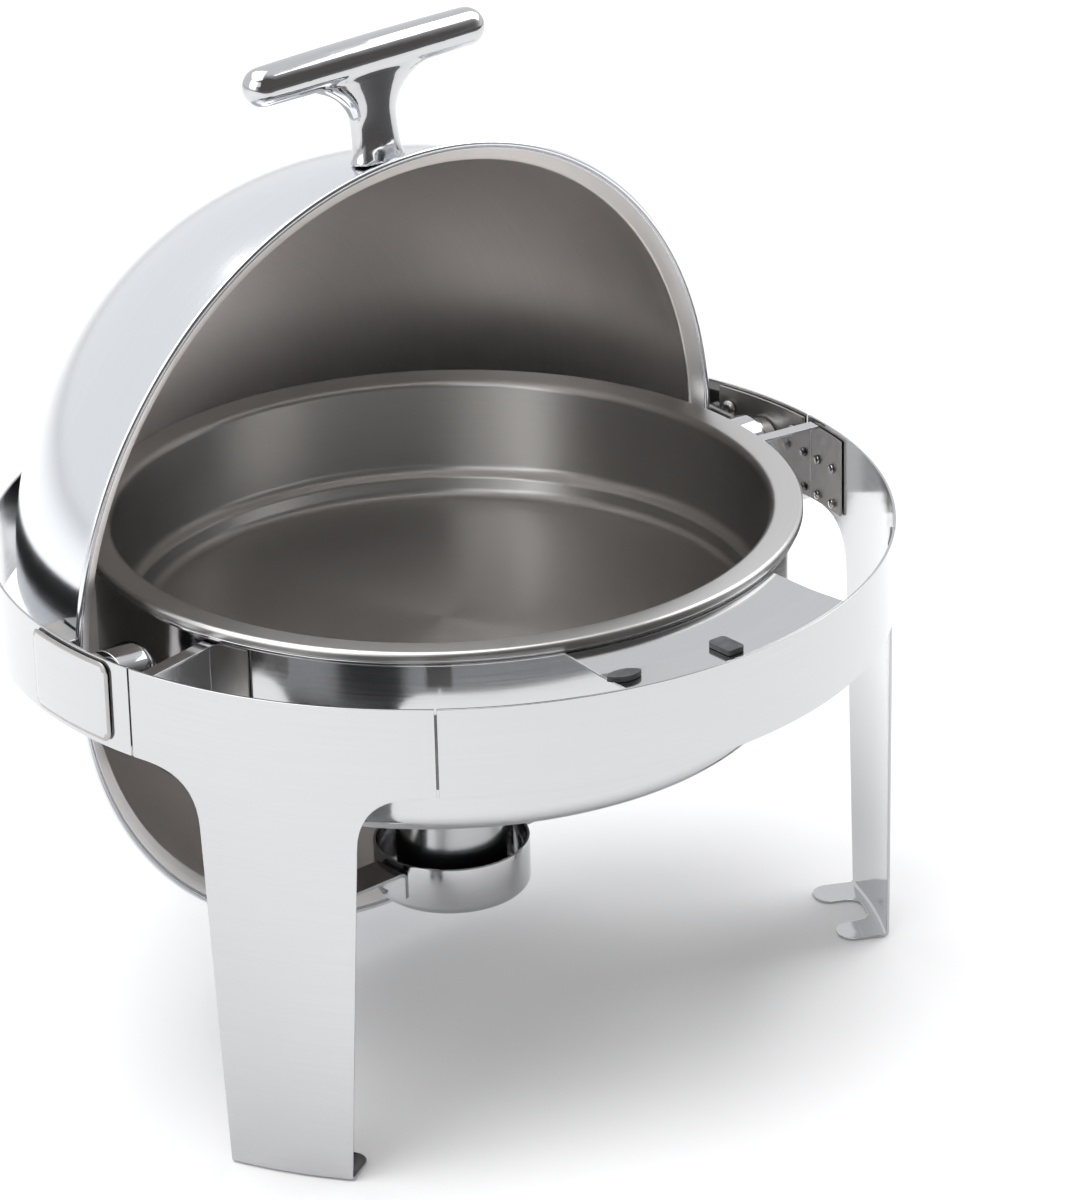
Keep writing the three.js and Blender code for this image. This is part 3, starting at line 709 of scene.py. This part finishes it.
def ledge():
    """The shelf between the pan and the ring: a level outer part and an inner part that rises to the pan."""
    inner, crease, outer, sheet, soft = 192.2, 219.0, SEAT_R, 1.2, 1.2
    top, inner_top, half_steps = 269.4, 271.4, 16
    # In plan each end is close to a line between two places (half width, depth in front of the pivots). A
    # point's depth is taken as a fixed share of its radius.
    near_half, near_depth, far_half, far_depth = 68, 132.2, 77, 242.5
    depth_share = 0.95
    radii = [inner, (inner + crease) / 2, crease - soft, crease, crease + soft, (crease + outer) / 2, outer]
    rows = []
    for radius in radii:
        rise = max(0.0, (crease - radius) / (crease - inner))
        along = (radius * depth_share - near_depth) / (far_depth - near_depth)
        reach = math.degrees(math.asin((near_half + (far_half - near_half) * along) / radius))
        angles = [reach * (k / half_steps - 1) for k in range(2 * half_steps + 1)]
        rows.append([on_ring(radius, angle, top + (inner_top - top) * rise) for angle in angles])
    piece("front_ledge", skin("ledge", rows, flip=True), POLISHED, thickness=sheet, edge=0.3)

    bumper_radius, bumper_sink, pinch = 229, 0.9, 1.4
    rise = BUMPER_TOP - (top + GAP) - bumper_sink
    oval_width, oval_depth, block_width, block_depth, corner = 9.5, 4.6, 5.5, 8.5, 2.5
    oval = []
    for x, y in circle(1, 40):
        oval.append((oval_width * y, oval_depth * math.copysign(abs(x) ** pinch, x)))
    quarters = ((-1, -1), (1, -1), (1, 1), (-1, 1))
    block = rounded([(block_width * x, block_depth * y, corner) for x, y in quarters])
    for node, outline, angle in (("ledge_bumper_end", oval, -17.4), ("ledge_bumper_middle", block, -2.0)):
        place = turn(angle, "Z") @ shift(0, -bumper_radius, top + GAP)
        piece(node, moved(plate(node, outline, rise), place), RUBBER, edge=1.1, edge_steps=3)


def fuel_holder():
    """The cup under the water pan, the can that stands in it and the two bent arms that hold the cup."""
    radius, bottom, top, sheet = 43.0, low("fuel_cup").z, high("fuel_cup").z, 1.5
    cup = rounded([(0, bottom, 0), (radius, bottom, 4.5), (radius, top, 0.7), (radius - sheet, top, 0.7),
                   (radius - sheet, bottom + sheet, 3.2), (0, bottom + sheet, 0)], closed=False)
    piece("fuel_cup", lathe("cup", cup, 128), POLISHED)

    radius, bottom, top, sheet = 31.0, low("fuel_can").z, high("fuel_can").z, 0.8
    body, inside, opening, lid = radius - 0.6, radius - 1.4, 14, top - 3
    can = rounded([
        (0, bottom, 0), (radius, bottom, 0.8), (radius, bottom + 1.8, 0.5), (body, bottom + 2.6, 0.5),
        (body, top - 3.2, 0.5), (radius, top - 2.2, 0.5), (radius, top, 0.9), (radius - 1.8, top, 0.7),
        (radius - 2.2, lid, 0.6), (opening + 3, lid, 0.6), (opening + 2, lid + 0.8, 0.6),
        (opening, lid + 0.8, 0.3), (opening, lid - 0.8, 0.2), (inside, lid - 0.8, 0.4),
        (inside, bottom + sheet, 0.6), (0, bottom + sheet, 0)], closed=False, steps=4)
    piece("fuel_can", lathe("can", can, 128), CAN)

    near, sheet, level, reach, foot, tab, bend, width = 43.3, 2.0, 74.0, 82.0, 18.0, 14.0, 2.4, 22
    under_pan = low("water_pan").z - GAP
    path = rounded([(near, level - tab, 0), (near, level, bend), (reach, level, bend),
                    (reach, under_pan, bend), (reach + foot, under_pan, 0)], closed=False)
    pair("fuel_hanger", strip("hanger", path, width), POLISHED, thickness=sheet, edge=0.3)


# ---- cover ----

def dome():
    """The roll top: an even shell that is bright outside and satin inside, with a flared, beaded rim."""
    sheet, arc_steps = 1.0, 64
    arcs = [math.pi / 2 * k / arc_steps for k in range(arc_steps + 1)]
    inside = [((DOME_R - sheet) * math.cos(t), RIM_OFFSET + (DOME_DEPTH - sheet) * math.sin(t)) for t in arcs]
    outside = [(DOME_R * math.cos(t), RIM_OFFSET + DOME_DEPTH * math.sin(t)) for t in arcs]
    inside[-1] = (0.0, inside[-1][1])
    outside[-1] = (0.0, outside[-1][1])
    # The sheet flares outward and ends in a small rolled bead.
    bead, bead_r, bead_z = 1.75, RIM_R - 1.8, RIM_OFFSET + 1.8
    flare_foot = bead_r - bead - 0.2
    front = rounded([
        (DOME_R - sheet, RIM_OFFSET + 9, 0), (DOME_R - sheet, RIM_OFFSET + 5, 2.4),
        (flare_foot, RIM_OFFSET + 0.9, 0.3), (flare_foot + 0.1, RIM_OFFSET + 1.5, 0)], closed=False)
    rolled = [(bead_r + bead * math.cos(math.radians(t)), bead_z + bead * math.sin(math.radians(t)))
              for t in range(190, 500, 20)]
    back = rounded([(flare_foot, RIM_OFFSET + 2.9, 0), (DOME_R + 0.5, RIM_OFFSET + 6.6, 2.0),
                    (DOME_R, RIM_OFFSET + 10, 0)], closed=False)
    kept_inside = [p for p in reversed(inside) if p[1] > RIM_OFFSET + 9.5]
    kept_outside = [p for p in outside if p[1] > RIM_OFFSET + 10.5]
    mesh = lathe("dome", kept_inside + front + rolled + back + kept_outside)
    for polygon in mesh.polygons:
        centre = polygon.center / MM
        radius = math.hypot(centre.x, centre.y)
        inward = polygon.normal.dot(Vector((centre.x, centre.y, centre.z - RIM_OFFSET))) < 0
        polygon.material_index = 1 if inward and radius < flare_foot else 0
    piece("cover_dome", mesh, COVER_OUTSIDE, COVER_INSIDE, matrix=COVER)


def arms():
    """The flat arms that carry the cover on its hubs, their screws and the blocks behind them."""
    inner, sheet, half, length, bore = 226.3, 2.5, 11.0, 62.0, 4.3
    # A hair under half the width, so that two rounded corners never share a point.
    corner = half - 0.01
    outline = rounded([(-half, -half, corner), (half, -half, corner), (half, length, corner),
                       (-half, length, corner)], steps=12)
    # The plate is drawn in x-y and stood up in the cover's y-z plane, with its outer face towards +X.
    upright = shift(inner) @ Matrix(((0, 0, 1, 0), (1, 0, 0, 0), (0, 1, 0, 0), (0, 0, 0, 1)))
    arm = moved(plate("arm", outline, sheet, [circle(bore)]), upright)
    pair("cover_arm", arm, FIXING, edge=0.5, matrix=COVER)
    low_z, high_z, half_width, clear = 36.0, 60.0, 8.0, 1.2
    near_low, near_high = [DOME_R * math.sqrt(1 - ((z - RIM_OFFSET) / DOME_DEPTH) ** 2) + clear
                           for z in (low_z, high_z)]
    side = [(near_low, low_z), (inner - GAP, low_z), (inner - GAP, high_z), (near_high, high_z)]
    block = moved(plate("block", side, 2 * half_width), turn(90, "X"))
    pair("arm_block", moved(block, shift(0, half_width)), FIXING, edge=0.8, matrix=COVER)
    for k, z in enumerate((42, 54)):
        head = moved(button_head("arm_screw", 4.0, 2.2, 1.8), facing_x(inner + sheet + GAP, z))
        pair(f"arm_screw_{k + 1}", head, FIXING, matrix=COVER)


# The handle's place on the dome, as an angle up from the rim, and its lean in degrees.
SEAT = math.radians(8)
HANDLE_TILT = 12
HANDLE_FOOT = shift(0, -DOME_R * math.cos(SEAT), RIM_OFFSET + DOME_DEPTH * math.sin(SEAT))
HANDLE = COVER @ HANDLE_FOOT @ turn(90 - HANDLE_TILT, "X")


def handle():
    """A T-shaped casting: a bar with full round ends on a stem that spreads into it and into its seat."""
    half_length, bar_height, bar_radius, bar_swell, half_steps, around = 80.0, 56.0, 10.4, 1.0, 30, 64
    bar = []
    for k in range(2 * half_steps + 1):
        x = half_length * math.sin(math.pi / 2 * (k / half_steps - 1))
        share = abs(x) / half_length
        radius = bar_radius + bar_swell * (1 - share ** 2)
        beyond = max(0.0, radius - (half_length - abs(x)))
        bar.append((math.sqrt(max(0.0, radius ** 2 - beyond ** 2)), x))
    bar[0] = (0.0, -half_length)
    bar[-1] = (0.0, half_length)
    bar_mesh = moved(lathe("bar", bar, 48), shift(0, 0, bar_height) @ turn(90, "Y"))

    # The stem's outline: straight up to the web's foot, then spreading into the bar.
    web_foot, web_rise, web_reach, into_bar, straight_rows, web_rows = 22.0, 25.0, 40.0, 3, 14, 16
    levels = [(z, 0.0) for z in evenly(GAP, web_foot, straight_rows)[:-1]]
    for t in evenly(0, math.pi / 2, web_rows):
        levels.append((web_foot + web_rise * math.sin(t), web_reach * (1 - math.cos(t))))
    levels.append((web_foot + web_rise + into_bar, web_reach))
    stem_half_x, stem_half_y, flare_x, flare_y, flare_height = 14, 10, 3, 1.5, 5.0
    points = []
    for z, spread in levels:
        flare = math.exp(-z / flare_height)
        half_x = stem_half_x + flare_x * flare + spread
        half_y = stem_half_y + flare_y * flare
        points += [(half_x * math.cos(a), half_y * math.sin(a), z)
                   for a in (2 * math.pi * j / around for j in range(around))]
    faces = []
    for i in range(len(levels) - 1):
        row, upper = i * around, (i + 1) * around
        for j in range(around):
            after = (j + 1) % around
            faces.append([row + j, row + after, upper + after, upper + j])
    faces += [list(range(around)), list(range(len(points) - around, len(points)))]
    stem_mesh = new_mesh("stem", points, faces)
    made = piece("handle", joined("handle", bar_mesh, stem_mesh), CAST, matrix=HANDLE)
    remesh = made.modifiers.new("one_body", "REMESH")
    remesh.mode = "VOXEL"
    remesh.voxel_size = 0.9 * MM
    remesh.use_smooth_shade = True
    smooth = made.modifiers.new("polish", "SMOOTH")
    smooth.factor = 0.5
    smooth.iterations = 14

    # Inside the dome: the washer and the screw that hold the handle.
    under, washer_sheet, bore, washer_radius = -1.0 - 8 * GAP, 1.2, 3.4, 8
    lower = under - washer_sheet
    washer = rounded([(bore, lower, 0.2), (washer_radius, lower, 0.4), (washer_radius, under, 0.3),
                      (bore, under, 0.2)], steps=3)
    piece("handle_washer", lathe("washer", washer, 48), FIXING, matrix=HANDLE)
    head_top = lower - GAP
    screw = rounded([(0, head_top - 1.4, 0), (1.8, head_top - 1.5, 0.2), (2.0, head_top - 3, 0.3),
                     (3.6, head_top - 3, 0.9), (5.2, head_top - 1.4, 0.5), (5.2, head_top, 0.3),
                     (2.9, head_top, 0.3), (2.9, 16, 0.5), (0, 16, 0)], closed=False, steps=3)
    piece("handle_screw", lathe("screw", screw, 40), FIXING, matrix=HANDLE)


# ---- the set ----

FLOOR_HALF = 9000
# A dark card lies this high on the floor, from this far in front. Only gloss sees it: it puts the dark bands
# into the chrome, and the floor itself stays pale all round.
CARD_HEIGHT = 2
CARD_START = 1350
# The surroundings are pale behind and darken towards the front, where the cover's inside and the handle look.
DARK_SIDE = (-0.1, -1.0, 0.25)
PALE = (0.3, (0.95, 0.96, 0.98, 1))
DARK = (0.7, (0.13, 0.125, 0.12, 1))
# Name, place and size in metres, and power in watts. Each lamp faces the middle of the object.
MIDDLE = Vector((0, 0, 0.25))
SOFT_BOXES = (
    ("overhead", (-0.5, 0.6, 3.0), (3.4, 2.8), 66),
    ("left_fill", (-3.0, 0.3, 1.8), (2.8, 2.6), 30),
    ("right_fill", (2.4, -0.3, 2.3), (2.0, 1.8), 34),
    ("front_fill", (-2.9, -1.6, 2.6), (1.8, 1.8), 10),
)


def studio():
    ends = (-FLOOR_HALF, FLOOR_HALF)
    floor = skin("floor", [[(x, y, 0) for x in ends] for y in ends])
    ground = bpy.data.objects.new("floor", floor)
    bpy.context.scene.collection.objects.link(ground)
    floor.materials.append(Finish("floor", (0.95, 0.95, 0.95), 0.9, metallic=0.0).material)

    card = skin("flag", [[(x, y, CARD_HEIGHT) for x in ends] for y in (-FLOOR_HALF, -CARD_START)])
    card.materials.append(Finish("flag", (0.13, 0.13, 0.13), 0.9, metallic=0.0).material)
    flag = bpy.data.objects.new("flag", card)
    bpy.context.scene.collection.objects.link(flag)
    flag.visible_camera = False
    flag.visible_diffuse = False
    flag.visible_shadow = False
    flag.visible_transmission = False

    world = bpy.data.worlds.new("studio")
    bpy.context.scene.world = world
    world.use_nodes = True
    tree = world.node_tree
    place = tree.nodes.new("ShaderNodeTexCoord")
    toward = tree.nodes.new("ShaderNodeVectorMath")
    toward.operation = "DOT_PRODUCT"
    toward.inputs[1].default_value = Vector(DARK_SIDE).normalized()
    tree.links.new(place.outputs["Generated"], toward.inputs[0])
    ramp = tree.nodes.new("ShaderNodeValToRGB")
    for element, (position, color) in zip(ramp.color_ramp.elements, (PALE, DARK)):
        element.position = position
        element.color = color
    tree.links.new(toward.outputs["Value"], ramp.inputs["Fac"])
    tree.links.new(ramp.outputs["Color"], tree.nodes["Background"].inputs["Color"])
    tree.nodes["Background"].inputs["Strength"].default_value = 1.0

    for name, location, size, power in SOFT_BOXES:
        light = bpy.data.lights.new(name, "AREA")
        light.shape = "RECTANGLE"
        light.size, light.size_y = size
        light.energy = power
        lamp = bpy.data.objects.new(name, light)
        lamp.location = location
        lamp.rotation_euler = (MIDDLE - Vector(location)).to_track_quat("-Z", "Y").to_euler()
        bpy.context.scene.collection.objects.link(lamp)
    bpy.context.scene.view_settings.view_transform = "Standard"


def camera():
    """The photograph's viewpoint: its angles, its distance from the point that it looks at, and its lens."""
    azimuth, elevation, roll, distance = math.radians(-41.28), math.radians(24.11), -0.02405, 2.9357
    aim = Vector((0.02786, -0.04845, 0.22765))
    back = Vector((math.sin(azimuth) * math.cos(elevation), -math.cos(azimuth) * math.cos(elevation),
                   math.sin(elevation)))
    right = Vector((math.cos(azimuth), math.sin(azimuth), 0))
    up = back.cross(right)
    level_right = right * math.cos(roll) + up * math.sin(roll)
    level_up = up * math.cos(roll) - right * math.sin(roll)
    data = bpy.data.cameras.new("camera")
    data.sensor_width = 36
    data.lens = 165
    made = bpy.data.objects.new("camera", data)
    made.matrix_world = Matrix.Translation(aim + back * distance) @ Matrix(
        (level_right, level_up, back)).transposed().to_4x4()
    bpy.context.scene.collection.objects.link(made)
    bpy.context.scene.camera = made


camera()
studio()
stand_ring()
hinge_cover()
pivots()
pan_bracket()
pans()
ledge()
fuel_holder()
dome()
arms()
handle()
